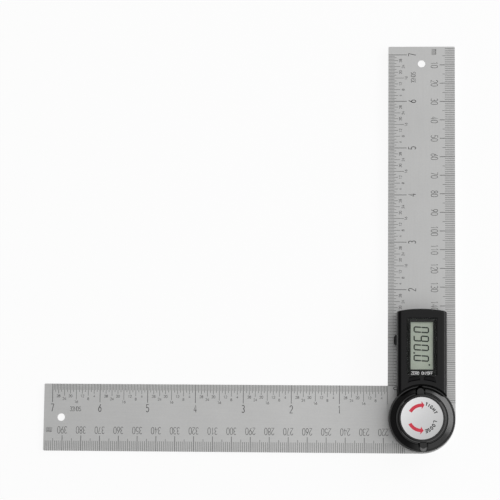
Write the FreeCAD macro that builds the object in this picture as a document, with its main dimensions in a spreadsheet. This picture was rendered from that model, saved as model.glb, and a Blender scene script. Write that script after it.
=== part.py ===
import FreeCAD, Part
import math
import os
import Sketcher
from types import SimpleNamespace

# Angle finder: two steel rules on one pivot, with a digital readout box and a lock knob.
# Origin: on the pivot axis, in the plane the lower rule lies on. +Z up through the knob,
# +Y along the upper rule, -X along the lower rule, opened to 90 degrees.

Vector = FreeCAD.Vector
Rotation = FreeCAD.Rotation
Placement = FreeCAD.Placement

# Driving dimensions in millimetres and degrees.
DRIVING_SIZES = {
    # rules
    "arm_length": 200.0,
    "arm_width": 35.5,
    "arm_thickness": 1.2,
    "arm_corner": 0.6,
    "arm_gap": 0.3,
    "hang_hole_radius": 2.0,
    "hang_hole_inset": 9.3,
    # pivot
    "stud_head_radius": 9.9,
    "stud_head_thickness": 0.6,
    "journal_radius": 6.45,
    "journal_flat": 5.45,
    "running_gap": 0.05,
    "seat_gap": 0.1,
    "bush_wall": 1.5,
    "bush_flange_radius": 10.0,
    "bush_flange_thickness": 0.8,
    "seat_radius": 5.0,
    "seat_flat": 4.0,
    "thread_radius": 2.5,
    "thread_top": 13.3,
    "rotor_radius": 11.6,
    "sensor_thickness": 0.8,
    "stator_radius": 12.0,
    "stator_hole_radius": 7.5,
    "clip_thickness": 0.5,
    "clip_radius": 6.8,
    "groove_radius": 3.6,
    "clip_relief_radius": 1.0,
    "stud_chamfer": 0.5,
    "arm_washer_bore": 7.0,
    "arm_washer_radius": 11.5,
    "tongue_width": 10.0,
    "tongue_end": 23.0,
    "pin_width": 0.6,
    "pin_pitch": 2.0,
    "pin_row": 21.8,
    # readout box
    "box_width": 26.2,
    "box_height": 10.3,
    "box_end": 57.5,
    "box_corner": 56.15,
    "box_shoulder": 2.4,
    "box_wall": 1.4,
    "end_round": 1.0,
    "knob_nest_radius": 17.9,
    "nest_wall": 0.8,
    "cover_radius": 17.2,
    "cover_height": 4.4,
    "cover_roof": 1.4,
    "cover_lip": 0.5,
    "ceiling_height": 8.1,
    "button_ceiling_height": 8.4,
    "throat_width": 21.0,
    "throat_start": 5.0,
    "throat_end": 21.0,
    "key_room_width": 18.0,
    "key_room_end": 23.0,
    "post_rooting": 0.2,
    "base_thickness": 1.0,
    "base_start": 24.2,
    "base_foot_width": 17.2,
    "rail_thickness": 1.1,
    "stop_start": 10.0,
    "stop_end": 11.2,
    "stop_length": 12.0,
    # window and display
    "window_width": 15.6,
    "window_bottom": 22.5,
    "window_top": 52.6,
    "window_depth": 1.6,
    "window_bevel": 0.35,
    "lens_thickness": 0.8,
    "bezel_thickness": 0.3,
    "view_width": 11.7,
    "view_bottom": 25.65,
    "view_top": 50.5,
    "glass_width": 14.4,
    "glass_bottom": 24.2,
    "glass_top": 52.0,
    "glass_ledge": 0.7,
    "board_height": 5.1,
    "board_thickness": 0.8,
    "zebra_height": 0.8,
    "zebra_width": 1.4,
    "zebra_length": 24.0,
    "lens_corner": 0.4,
    # buttons
    "button_inner_radius": 20.1,
    "button_outer_radius": 22.15,
    "button_tip_radius": 21.6,
    "button_start": 93.2,
    "button_stop": 111.0,
    "button_shoulder": 106.8,
    "button_bow": 6.8,
    "button_gap": 0.15,
    "button_proud": 0.3,
    "button_edge": 0.3,
    "flange_reach": 0.4,
    "flange_thickness": 0.7,
    "plunger_radius": 0.9,
    "plunger_length": 0.4,
    "key_pad_width": 16.0,
    "key_pad_end": 23.6,
    "key_pad_thickness": 0.5,
    "dome_radius": 1.1,
    "dome_height": 0.4,
    # battery
    "cell_radius": 10.0,
    "cell_thickness": 3.2,
    "cell_x": -1.2,
    "cell_y": 41.4,
    "drawer_wall": 0.8,
    "drawer_floor": 0.5,
    "drawer_rim": 3.2,
    "drawer_face_height": 3.8,
    "drawer_slot_height": 4.0,
    "floor_slot_width": 4.4,
    "tab_width": 5.3,
    "tab_reach": 1.0,
    "contact_width": 3.0,
    # lock knob
    "knob_radius": 17.4,
    "knob_bottom": 7.6,
    "knob_angle": 3.0,
    "rim_top": 10.95,
    "rim_bevel": 0.4,
    "ring_radius": 16.3,
    "ring_outer_top": 11.3,
    "ring_inner_top": 12.9,
    "groove_width": 1.0,
    "groove_depth": 0.6,
    "boss_radius": 12.7,
    "boss_top": 15.8,
    "boss_bevel": 0.9,
    "label_radius": 11.0,
    "label_thickness": 0.2,
    "lug_foot": 10.5,
    "lug_top": 14.7,
    "lug_width": 6.6,
    "lug_reach": 17.2,
    "lug_taper": 20.0,
    "insert_radius": 4.0,
    "hub_radius": 5.8,
    "hub_foot": 0.5,
    "knob_wall": 1.4,
    "rib_width": 1.0,
    "label_well_depth": 0.4,
    "label_margin": 0.3,
    "clamp_washer_radius": 9.0,
    "clamp_washer_thickness": 0.9,
    "washer_key_start": 7.0,
    "washer_key_width": 3.0,
    "washer_key_depth": 0.9,
    # screws
    "screw_radius": 0.8,
    "screw_hole_radius": 1.1,
    "screw_head_radius": 1.95,
    "screw_length": 5.5,
    "board_screw_head_radius": 1.5,
    "board_screw_head_height": 0.6,
    "board_screw_bite": 2.0,
    "post_radius": 1.4,
}

doc = FreeCAD.newDocument("angle_finder")
sheet = doc.addObject("Spreadsheet::Sheet", "Sizes")


class Size(float):
    """A dimension that remembers the spreadsheet formula it comes from."""

    def __new__(cls, value, formula):
        size = super().__new__(cls, value)
        size.formula = formula
        return size

    def __add__(self, other):
        return Size(float(self) + float(other), f"({formula_of(self)} + {formula_of(other)})")

    def __radd__(self, other):
        return Size(float(other) + float(self), f"({formula_of(other)} + {formula_of(self)})")

    def __sub__(self, other):
        return Size(float(self) - float(other), f"({formula_of(self)} - {formula_of(other)})")

    def __rsub__(self, other):
        return Size(float(other) - float(self), f"({formula_of(other)} - {formula_of(self)})")

    def __mul__(self, other):
        return Size(float(self) * float(other), f"({formula_of(self)} * {formula_of(other)})")

    def __rmul__(self, other):
        return self * other

    def __truediv__(self, other):
        return Size(float(self) / float(other), f"({formula_of(self)} / {formula_of(other)})")

    def __neg__(self):
        return Size(-float(self), f"(0 - {formula_of(self)})")


def formula_of(number):
    if isinstance(number, Size):
        return number.formula
    return f"({float(number):.9g})"


def root(square):
    """Square root that keeps its formula."""
    return Size(math.sqrt(square), f"sqrt({formula_of(square)})")


def polar(radius, degrees):
    """Point at a radius and an angle in degrees, as formulas."""
    turn = math.radians(degrees)
    angle = formula_of(degrees)
    across = Size(radius * math.cos(turn), f"({formula_of(radius)} * cos({angle} * 1 deg))")
    along = Size(radius * math.sin(turn), f"({formula_of(radius)} * sin({angle} * 1 deg))")
    return across, along


def fill_sheet():
    """Write the driving dimensions, one to a row, and hand them back by name."""
    named = {}
    for row, (name, value) in enumerate(DRIVING_SIZES.items(), 1):
        sheet.set(f"A{row}", name)
        sheet.set(f"B{row}", str(value))
        sheet.setAlias(f"B{row}", name)
        named[name] = Size(value, f"Sizes.{name}")
    doc.recompute()
    return SimpleNamespace(**named)


s = fill_sheet()

# Levels above the resting plane.
upper_arm_level = s.arm_thickness + s.arm_gap
deck_level = upper_arm_level + s.arm_thickness
seat_level = deck_level + s.bush_flange_thickness + s.seat_gap
clip_level = seat_level + s.sensor_thickness
stator_level = deck_level + s.cover_height - s.cover_roof - s.sensor_thickness
board_level = deck_level + s.board_height
zebra_level = board_level + s.board_thickness
glass_level = zebra_level + s.zebra_height
bezel_level = deck_level + s.box_height - s.window_depth
lens_level = bezel_level + s.bezel_thickness
drawer_level = deck_level + s.base_thickness + s.seat_gap
cell_level = drawer_level + s.drawer_floor
half_arm = s.arm_width / 2
half_box = s.box_width / 2
half_inside = half_box - s.box_wall
inside_end = s.box_end - s.box_wall
inside_corner = inside_end - (s.box_end - s.box_corner) + 0.3
slot_half = s.cell_radius + s.seat_gap * 2 + s.drawer_wall
drawer_half = s.cell_radius + s.seat_gap + s.drawer_wall

# Screw places (x, y). Case screws come from below through the upper rule: two at the box's far
# end and two beyond the pivot, under the cover.
BOX_SCREWS = [(9.3, 53.95), (-9.3, 53.95)]
COVER_SCREWS = [(9.9, -9.9), (-9.9, -9.9)]
CASE_SCREWS = BOX_SCREWS + COVER_SCREWS
BOARD_SCREWS = [(10.1, 27.5), (-10.1, 27.5)]
SIDES = (-1, 1)


def tie(thing, setting, number):
    """Bind one setting to the sheet, or leave a plain number if it isn't from there."""
    if isinstance(number, Size):
        thing.setExpression(setting, number.formula)
    elif setting == "AttachmentOffset.Base.z":
        thing.AttachmentOffset = Placement(Vector(0, 0, number), Rotation())
    else:
        setattr(thing, setting, number)


def new_body(label, level=0.0):
    """A body whose own zero height stands at a level above the resting plane."""
    body = doc.addObject("PartDesign::Body", label)
    body.Label = label
    if isinstance(level, Size):
        body.setExpression("Placement.Base.z", level.formula)
    return body


def origin_item(body, role):
    return next(item for item in body.Origin.OriginFeatures if item.Role == role)


def sketch_on(body, height=0.0, role="XY_Plane"):
    sketch = body.newObject("Sketcher::SketchObject", body.Label + "_sketch")
    sketch.AttachmentSupport = [(origin_item(body, role), "")]
    sketch.MapMode = "FlatFace"
    tie(sketch, "AttachmentOffset.Base.z", height)
    return sketch


def constrain(sketch, kind, *settings):
    """Add one sketch dimension, tied to the sheet where its number comes from there."""
    number = settings[-1]
    index = sketch.addConstraint(Sketcher.Constraint(kind, *settings[:-1], float(number)))
    if isinstance(number, Size):
        sketch.setExpression(f"Constraints[{index}]", number.formula)


def pin_point(sketch, geometry, point, across, along):
    constrain(sketch, "DistanceX", -1, 1, geometry, point, across)
    constrain(sketch, "DistanceY", -1, 1, geometry, point, along)


def circle(sketch, radius, across=0.0, along=0.0):
    edge = sketch.addGeometry(Part.Circle(Vector(across, along, 0), Vector(0, 0, 1), float(radius)))
    pin_point(sketch, edge, 3, across, along)
    constrain(sketch, "Radius", edge, radius)


def arc_through(start, end, radius):
    """The short arc from start to end; a positive radius turns left, a negative one right."""
    chord = end - start
    left = Vector(-chord.y, chord.x, 0).normalize()
    side = math.copysign(1, radius)
    rise = math.sqrt(max(radius * radius - (chord.Length / 2) ** 2, 0.0))
    centre = (start + end) / 2 + left * side * rise
    middle = centre - left * side * abs(radius)
    if radius < 0:
        start, end = end, start
    return Part.ArcOfCircle(start, middle, end)


def outline(sketch, corners):
    """A closed loop through (x, y) corners; a third number arcs the edge to the next corner."""
    edges = []
    for index, corner in enumerate(corners):
        following = corners[(index + 1) % len(corners)]
        start = Vector(corner[0], corner[1], 0)
        end = Vector(following[0], following[1], 0)
        if len(corner) == 3:
            shape = arc_through(start, end, float(corner[2]))
        else:
            shape = Part.LineSegment(start, end)
        starts_first = (shape.StartPoint - start).Length < 1e-6
        edges.append((sketch.addGeometry(shape), 1 if starts_first else 2))
    for index, (edge, first) in enumerate(edges):
        following, following_first = edges[(index + 1) % len(edges)]
        sketch.addConstraint(Sketcher.Constraint("Coincident", edge, 3 - first, following, following_first))
        pin_point(sketch, edge, first, corners[index][0], corners[index][1])
        if len(corners[index]) == 3:
            radius = corners[index][2]
            constrain(sketch, "Radius", edge, radius if radius > 0 else -radius)


def rectangle(sketch, left, right, bottom, top):
    outline(sketch, [(left, bottom), (right, bottom), (right, top), (left, top)])


def span(side, near, far):
    """Two distances from the axis, on one side of it, in rising order."""
    return sorted((near * side, far * side))


def post_circles(sketch, places, radius):
    for across, along in places:
        circle(sketch, radius, across, along)


def finish_feature(body, feature, grows):
    """Recompute, and make sure the feature added or took away material as it should."""
    before = feature.BaseFeature.Shape.Volume if feature.BaseFeature else 0.0
    doc.recompute()
    if feature.Shape.isNull():
        raise RuntimeError(f"{feature.Name} on {body.Label} failed: {feature.State}")
    change = feature.Shape.Volume - before
    if (change > 0) != grows or abs(change) < 1e-6:
        raise RuntimeError(f"{feature.Name} on {body.Label} changed the volume by {change:.4f}")
    return feature


def pad(body, sketch, length, downward=False):
    feature = body.newObject("PartDesign::Pad", body.Label + "_pad")
    feature.Profile = sketch
    feature.Reversed = downward
    tie(feature, "Length", length)
    return finish_feature(body, feature, True)


def pocket(body, sketch, depth, upward=False):
    feature = body.newObject("PartDesign::Pocket", body.Label + "_pocket")
    feature.Profile = sketch
    feature.Reversed = upward
    tie(feature, "Length", depth)
    return finish_feature(body, feature, False)


def turn(body, corners, cut=False):
    """Revolve a profile of (radius, height) corners about the body's own Z axis, or cut it away."""
    sketch = sketch_on(body, 0.0, "XZ_Plane")
    outline(sketch, corners)
    kind = "PartDesign::Groove" if cut else "PartDesign::Revolution"
    feature = body.newObject(kind, body.Label + "_turned")
    feature.Profile = sketch
    feature.ReferenceAxis = (sketch, ["V_Axis"])
    feature.Angle = 360
    return finish_feature(body, feature, not cut)


def repeat_round(body, features, count):
    """Repeat features of a body evenly about its Z axis."""
    pattern = body.newObject("PartDesign::PolarPattern", body.Label + "_pattern")
    pattern.Originals = features
    pattern.Axis = (origin_item(body, "Z_Axis"), [""])
    pattern.Angle = 360
    pattern.Occurrences = count
    body.Tip = pattern
    doc.recompute()
    return pattern


def soften(body, radius, wanted, kind="Fillet"):
    """Fillet or chamfer the edges of the body's last feature that a test picks out."""
    base = body.Tip
    names = [f"Edge{n}" for n, edge in enumerate(base.Shape.Edges, 1) if wanted(edge)]
    if not names:
        raise RuntimeError(f"no edge to soften on {body.Label}")
    feature = body.newObject(f"PartDesign::{kind}", f"{body.Label}_{kind.lower()}")
    feature.Base = (base, names)
    tie(feature, "Radius" if kind == "Fillet" else "Size", radius)
    doc.recompute()
    return feature


def is_upright(edge):
    box = edge.BoundBox
    return box.XLength < 1e-4 and box.YLength < 1e-4 and box.ZLength > 1e-3


def two_flats(sketch, radius, flat):
    """A circle with two flats parallel to X, as on a keyed shaft."""
    reach = root(radius * radius - flat * flat)
    outline(sketch, [(reach, -flat, radius), (reach, flat), (-reach, flat, radius), (-reach, -flat)])


def stand(shape, across, along, level):
    """Put a primitive's foot at a place on a level, each number tied to the sheet if it is from there."""
    shape.Placement = Placement(Vector(across, along, level), Rotation())
    for axis, number in (("x", across), ("y", along), ("z", level)):
        if isinstance(number, Size):
            shape.setExpression(f"Placement.Base.{axis}", number.formula)


def cylinder(name, radius, length, across, along, level):
    """A plain upright cylinder."""
    shape = doc.addObject("Part::Cylinder", name)
    tie(shape, "Radius", radius)
    tie(shape, "Height", length)
    stand(shape, across, along, level)
    return shape


def join(name, first, second):
    fused = doc.addObject("Part::Fuse", name)
    fused.Base = first
    fused.Tool = second
    return fused


def group(label, members):
    """Several separate solids that share one node."""
    bundle = doc.addObject("Part::Compound", label)
    bundle.Label = label
    bundle.Links = members
    return bundle


# ---------------------------------------------------------------- rules and pivot

def make_arm(label, level, along_y):
    """A flat rule with a full-radius pivot end and a hanging hole near the outer end."""
    body = new_body(label, level)
    blade = sketch_on(body)
    if along_y:
        rectangle(blade, -half_arm, half_arm, 0, s.arm_length)
    else:
        rectangle(blade, -s.arm_length, 0, -half_arm, half_arm)
    pad(body, blade, s.arm_thickness)
    eye = sketch_on(body)
    circle(eye, half_arm)
    pad(body, eye, s.arm_thickness)
    far = s.arm_length - s.arm_width / 2
    soften(body, s.arm_corner, lambda e: is_upright(e) and e.CenterOfMass.Length > far)
    hang = sketch_on(body)
    reach = s.arm_length - s.hang_hole_inset
    if along_y:
        circle(hang, s.hang_hole_radius, 0, reach)
    else:
        circle(hang, s.hang_hole_radius, -reach, 0)
    pocket(body, hang, s.arm_thickness, upward=True)
    return body


def make_lower_arm():
    body = make_arm("lower_arm", 0.0, along_y=False)
    key = sketch_on(body)
    two_flats(key, s.journal_radius + s.running_gap, s.journal_flat + s.running_gap)
    pocket(body, key, s.arm_thickness, upward=True)
    seat = sketch_on(body)
    circle(seat, s.stud_head_radius + s.seat_gap)
    pocket(body, seat, s.stud_head_thickness, upward=True)
    return body


def make_upper_arm():
    body = make_arm("upper_arm", upper_arm_level, along_y=True)
    hole = sketch_on(body)
    circle(hole, s.journal_radius + s.running_gap + s.bush_wall)
    pocket(body, hole, s.arm_thickness, upward=True)
    holes = sketch_on(body)
    post_circles(holes, CASE_SCREWS, s.screw_hole_radius)
    pocket(body, holes, s.arm_thickness, upward=True)
    lip = s.screw_head_radius - s.screw_hole_radius
    soften(body, lip, lambda e: isinstance(e.Curve, Part.Circle)
           and abs(e.Curve.Radius - s.screw_hole_radius) < 1e-4
           and e.CenterOfMass.z < 1e-4, "Chamfer")
    return body


def make_pivot_bush():
    """Flanged sleeve pressed in the upper rule; the stud turns in it."""
    inner = s.journal_radius + s.running_gap
    outer = inner + s.bush_wall
    flange_top = s.arm_thickness + s.bush_flange_thickness
    body = new_body("pivot_bush", upper_arm_level)
    turn(body, [(inner, 0), (outer, 0), (outer, s.arm_thickness),
                (s.bush_flange_radius, s.arm_thickness), (s.bush_flange_radius, flange_top),
                (inner, flange_top)])
    return body


def make_pivot_stud():
    """Flanged stud: head let into the lower rule, keyed neck, journal, sensor seat, threaded end."""
    body = new_body("pivot_stud")
    groove_top = clip_level + s.clip_thickness
    collar_top = groove_top + s.stud_chamfer
    turn(body, [(0, 0), (s.stud_head_radius, 0), (s.stud_head_radius, s.stud_head_thickness),
                (s.journal_radius, s.stud_head_thickness), (s.journal_radius, seat_level),
                (s.seat_radius, seat_level), (s.seat_radius, clip_level),
                (s.groove_radius, clip_level), (s.groove_radius, groove_top),
                (s.seat_radius, groove_top), (s.seat_radius, collar_top),
                (s.thread_radius, collar_top), (s.thread_radius, s.thread_top - s.stud_chamfer),
                (s.thread_radius - s.stud_chamfer, s.thread_top), (0, s.thread_top)])
    neck = sketch_on(body, s.stud_head_thickness)
    for side in SIDES:
        rectangle(neck, -s.journal_radius, s.journal_radius,
                  *span(side, s.journal_flat, s.journal_radius + 1))
    pocket(body, neck, s.arm_thickness - s.stud_head_thickness, upward=True)
    flats = sketch_on(body, seat_level)
    for side in SIDES:
        rectangle(flats, -s.seat_radius, s.seat_radius,
                  *span(side, s.seat_flat, s.seat_radius + 1))
    pocket(body, flats, collar_top - seat_level, upward=True)
    return body


def make_arm_washer():
    """Thin slippery washer between the two rules."""
    thickness = s.arm_gap - 0.02
    body = new_body("arm_washer", s.arm_thickness)
    turn(body, [(s.arm_washer_bore, 0), (s.arm_washer_radius, 0),
                (s.arm_washer_radius, thickness), (s.arm_washer_bore, thickness)])
    return body


def make_encoder_rotor():
    """Sensor ring that is keyed to the stud and turns with the lower rule."""
    body = new_body("encoder_rotor", seat_level)
    disc = sketch_on(body)
    circle(disc, s.rotor_radius)
    two_flats(disc, s.seat_radius + s.running_gap, s.seat_flat + s.running_gap)
    pad(body, disc, s.sensor_thickness)
    return body


def make_retaining_clip():
    """E-clip in the stud's groove: a ring open on one side."""
    body = new_body("retaining_clip", clip_level)
    disc = sketch_on(body)
    circle(disc, s.clip_radius)
    circle(disc, s.groove_radius + s.running_gap)
    pad(body, disc, s.clip_thickness)
    mouth = sketch_on(body)
    half_mouth = s.groove_radius * 0.8
    rectangle(mouth, 0, s.clip_radius + 1, -half_mouth, half_mouth)
    pocket(body, mouth, s.clip_thickness, upward=True)
    relief = sketch_on(body)
    for degrees in (100, 180, 260):
        across, along = polar(s.groove_radius + s.clip_relief_radius * 0.6, degrees)
        circle(relief, s.clip_relief_radius, across, along)
    pocket(body, relief, s.clip_thickness, upward=True)
    return body


def make_encoder_stator():
    """Fixed sensor ring with a tongue that reaches under the main board."""
    body = new_body("encoder_stator", stator_level)
    disc = sketch_on(body)
    circle(disc, s.stator_radius)
    pad(body, disc, s.sensor_thickness)
    tongue = sketch_on(body)
    rectangle(tongue, -s.tongue_width / 2, s.tongue_width / 2, 0, s.tongue_end)
    pad(body, tongue, s.sensor_thickness)
    hole = sketch_on(body)
    circle(hole, s.stator_hole_radius)
    pocket(body, hole, s.sensor_thickness, upward=True)
    return body


def make_board_pins():
    """Row of square pins that joins the sensor ring to the main board."""
    foot = stator_level + s.sensor_thickness
    pins = []
    for column in range(-2, 3):
        pin = doc.addObject("Part::Box", f"board_pin_{column + 3}")
        tie(pin, "Length", s.pin_width)
        tie(pin, "Width", s.pin_width)
        tie(pin, "Height", board_level - foot)
        stand(pin, s.pin_pitch * column - s.pin_width / 2, s.pin_row - s.pin_width / 2, foot)
        pins.append(pin)
    return group("board_pins", pins)


# ---------------------------------------------------------------- readout box

def make_housing():
    """Moulded shell: display box with rounded shoulders, and a low round cover over the pivot."""
    body = new_body("housing", deck_level)
    shoulder = s.box_height - s.box_shoulder
    flat = half_box - s.box_shoulder
    section = sketch_on(body, 0.0, "XZ_Plane")
    outline(section, [(-half_box, 0), (half_box, 0), (half_box, shoulder, s.box_shoulder),
                      (flat, s.box_height), (-flat, s.box_height, s.box_shoulder),
                      (-half_box, shoulder)])
    pad(body, section, s.box_end, downward=True)

    # Arched far end.
    sagitta = s.box_end - s.box_corner
    arch = (half_box * half_box + sagitta * sagitta) / (sagitta * 2)
    end = sketch_on(body)
    outline(end, [(half_box, s.box_corner, arch), (-half_box, s.box_corner),
                  (-half_box - 1, s.box_corner), (-half_box - 1, s.box_end + 1),
                  (half_box + 1, s.box_end + 1), (half_box + 1, s.box_corner)])
    pocket(body, end, s.box_height, upward=True)
    last = s.box_corner - 0.01  # every edge beyond this belongs to the arched end
    soften(body, s.end_round, lambda e: e.BoundBox.YMin > last and e.BoundBox.ZMax > 1e-3)

    # Round nest for the knob, with the low cover under it.
    nest = sketch_on(body)
    circle(nest, s.knob_nest_radius)
    pocket(body, nest, s.box_height, upward=True)
    turn(body, [(0, 0), (s.cover_radius, 0),
                (s.cover_radius, s.cover_height - s.cover_lip),
                (s.cover_radius - s.cover_lip, s.cover_height), (0, s.cover_height)])
    wall = s.knob_nest_radius + s.nest_wall
    foot = sketch_on(body)
    rectangle(foot, -half_box, half_box, 0, wall)
    pad(body, foot, s.cover_height)

    # Hollow inside: under the cover, under the display, and higher over the key pad.
    hollow = sketch_on(body)
    circle(hollow, s.cover_radius - s.box_wall)
    pocket(body, hollow, s.cover_height - s.cover_roof, upward=True)
    throat = sketch_on(body)
    rectangle(throat, -s.throat_width / 2, s.throat_width / 2, s.throat_start, s.throat_end)
    pocket(body, throat, s.cover_height - s.cover_roof, upward=True)
    inner_side = root(wall * wall - half_inside * half_inside)
    inner_sagitta = inside_end - inside_corner
    inner_arch = (half_inside * half_inside + inner_sagitta * inner_sagitta) / (inner_sagitta * 2)
    room = sketch_on(body)
    outline(room, [(half_inside, inner_side), (half_inside, inside_corner, inner_arch),
                   (-half_inside, inside_corner), (-half_inside, inner_side, -wall)])
    pocket(body, room, s.ceiling_height, upward=True)
    half_key_room = s.key_room_width / 2
    key_side = root(wall * wall - half_key_room * half_key_room)
    key_room = sketch_on(body, s.ceiling_height - s.post_rooting)
    outline(key_room, [(half_key_room, key_side), (half_key_room, s.key_room_end),
                       (-half_key_room, s.key_room_end), (-half_key_room, key_side, -wall)])
    pocket(body, key_room, s.button_ceiling_height - s.ceiling_height + s.post_rooting, upward=True)

    # Window recess with a ledge, and the opening that shows the display.
    recess = sketch_on(body, s.box_height)
    rectangle(recess, -s.window_width / 2, s.window_width / 2, s.window_bottom, s.window_top)
    pocket(body, recess, s.window_depth)
    soften(body, s.window_bevel, is_window_rim, "Chamfer")
    view = sketch_on(body, s.box_height)
    half_view = s.glass_width / 2 - s.glass_ledge
    rectangle(view, -half_view, half_view, s.glass_bottom + s.glass_ledge, s.glass_top - s.glass_ledge)
    pocket(body, view, s.box_height - s.ceiling_height + s.seat_gap)

    # Screw posts, rooted in the roof above them, and their holes.
    board_post_foot = s.board_height + s.board_thickness
    cover_ceiling = s.cover_height - s.cover_roof
    for places, foot, roof in ((BOX_SCREWS, 0.0, s.ceiling_height), (COVER_SCREWS, 0.0, cover_ceiling),
                               (BOARD_SCREWS, board_post_foot, s.ceiling_height)):
        posts = sketch_on(body, foot)
        post_circles(posts, places, s.post_radius)
        pad(body, posts, roof - foot + s.post_rooting)
    screw_holes = sketch_on(body)
    post_circles(screw_holes, CASE_SCREWS, s.screw_radius)
    pocket(body, screw_holes, s.screw_length - s.arm_thickness, upward=True)
    board_holes = sketch_on(body, board_post_foot)
    post_circles(board_holes, BOARD_SCREWS, s.screw_radius)
    pocket(body, board_holes, s.board_screw_bite, upward=True)

    # Openings: stud, washer keys, buttons and the battery drawer.
    stud_hole = sketch_on(body)
    circle(stud_hole, s.thread_radius + 0.7)
    pocket(body, stud_hole, s.cover_height, upward=True)
    keys = sketch_on(body)
    half_slot = s.washer_key_width / 2 + s.seat_gap
    for side in SIDES:
        near, far = span(side, s.washer_key_start - s.seat_gap, s.clamp_washer_radius + s.seat_gap)
        rectangle(keys, near, far, -half_slot, half_slot)
    pocket(body, keys, s.cover_height, upward=True)
    buttons = sketch_on(body, s.box_height)
    for side in SIDES:
        button_outline(buttons, side, s.button_gap)
    pocket(body, buttons, s.box_height - s.button_ceiling_height + s.seat_gap)
    slot = sketch_on(body, -half_box, "YZ_Plane")
    rectangle(slot, s.cell_y - slot_half, s.cell_y + slot_half,
              s.base_thickness, s.base_thickness + s.drawer_slot_height)
    pocket(body, slot, s.box_wall + s.seat_gap, upward=True)
    return body


def is_window_rim(edge):
    """The upper edges of the window recess, but the one beside the buttons."""
    box = edge.BoundBox
    level = box.ZMin > s.box_height - 1e-3
    inside = max(-box.XMin, box.XMax) < s.window_width / 2 + 1e-3
    return level and inside and s.window_bottom + 1 < edge.CenterOfMass.y < s.window_top + 1e-3


def button_outline(sketch, side, gap):
    """Leaf-shaped button that follows the knob's circle, narrow towards the middle."""
    inner = s.button_inner_radius - gap
    outer = s.button_outer_radius + gap
    tip = s.button_tip_radius + gap
    spread = gap / s.button_inner_radius * (180 / math.pi)
    start = s.button_start - spread
    stop = s.button_stop + spread * 2  # the outer side slants, so its foot moves out further
    near_low = polar(inner, start)
    near_high = polar(tip, start)
    far_high = polar(outer, s.button_shoulder + spread)
    far_low = polar(inner, stop)
    if side < 0:
        outline(sketch, [near_low, (*near_high, s.button_bow), far_high, (*far_low, -inner)])
    else:
        mirror = [(-corner[0], corner[1]) for corner in (near_low, far_low, far_high, near_high)]
        outline(sketch, [(*mirror[0], -inner), mirror[1], (*mirror[2], s.button_bow), mirror[3]])


def dome_place(side):
    """Where a button presses its dome, in the middle of the leaf."""
    radius = (s.button_inner_radius + s.button_outer_radius) / 2
    across, along = polar(radius, (s.button_start + s.button_stop) / 2)
    return (across if side < 0 else -across), along


def make_button(label, side):
    """Leaf cap with a retaining flange below the roof and a plunger over its dome."""
    body = new_body(label, deck_level)
    top = s.box_height + s.button_proud
    flange_top = s.button_ceiling_height - s.running_gap
    flange_foot = flange_top - s.flange_thickness
    flange = sketch_on(body, flange_foot)
    button_outline(flange, side, s.flange_reach)
    pad(body, flange, s.flange_thickness)
    cap_foot = flange_top - s.flange_thickness / 2
    cap = sketch_on(body, cap_foot)
    button_outline(cap, side, 0.0)
    pad(body, cap, top - cap_foot)
    soften(body, s.button_edge, lambda e: abs(e.CenterOfMass.z - top) < 1e-3, "Chamfer")
    plunger = sketch_on(body, flange_foot)
    circle(plunger, s.plunger_radius, *dome_place(side))
    pad(body, plunger, s.plunger_length, downward=True)
    return body


def make_key_pad():
    """Rubber pad with a dome under each button."""
    body = new_body("key_pad", zebra_level)
    low = s.knob_nest_radius + s.nest_wall + s.seat_gap * 8
    half = s.key_pad_width / 2
    side_level = root(low * low - half * half)
    mat = sketch_on(body)
    outline(mat, [(half, side_level), (half, s.key_pad_end), (-half, s.key_pad_end),
                  (-half, side_level, -low)])
    pad(body, mat, s.key_pad_thickness)
    domes = sketch_on(body, s.key_pad_thickness)
    for side in SIDES:
        circle(domes, s.dome_radius, *dome_place(side))
    pad(body, domes, s.dome_height)
    return body


def make_housing_base():
    """Tray under the display box, with the rails that guide the drawer and carry the board."""
    body = new_body("housing_base", deck_level)
    reach = half_inside - s.seat_gap
    rail_height = s.board_height - s.base_thickness
    rail_start = s.cell_y - slot_half - s.rail_thickness
    foot = s.base_foot_width / 2
    end = inside_corner - s.seat_gap
    plate = sketch_on(body)
    outline(plate, [(-foot, s.base_start), (foot, s.base_start), (foot, rail_start),
                    (reach, rail_start), (reach, end), (-reach, end),
                    (-reach, rail_start), (-foot, rail_start)])
    pad(body, plate, s.base_thickness)
    rail = sketch_on(body, s.base_thickness)
    rectangle(rail, -reach, reach, rail_start, s.cell_y - slot_half)
    pad(body, rail, rail_height)
    stop = sketch_on(body, s.base_thickness)
    rectangle(stop, s.stop_start, s.stop_end, s.cell_y - s.stop_length / 2,
              s.cell_y + s.stop_length / 2)
    pad(body, stop, rail_height)
    notches = sketch_on(body)
    post_circles(notches, BOX_SCREWS, s.post_radius + s.seat_gap)
    pocket(body, notches, s.base_thickness, upward=True)
    return body


def make_circuit_board():
    body = new_body("circuit_board", board_level)
    reach = half_inside - s.seat_gap * 2
    low = s.knob_nest_radius + s.nest_wall + s.seat_gap * 3
    side = root(low * low - reach * reach)
    plate = sketch_on(body)
    end = s.glass_top + s.seat_gap * 2
    outline(plate, [(reach, side), (reach, end), (-reach, end), (-reach, side, -low)])
    pad(body, plate, s.board_thickness)
    holes = sketch_on(body)
    post_circles(holes, BOARD_SCREWS, s.screw_radius)
    pocket(body, holes, s.board_thickness, upward=True)
    return body


def make_plate(label, level, half_width, bottom, top, thickness):
    body = new_body(label, level)
    plan = sketch_on(body)
    rectangle(plan, -half_width, half_width, bottom, top)
    pad(body, plan, thickness)
    return body


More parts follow.
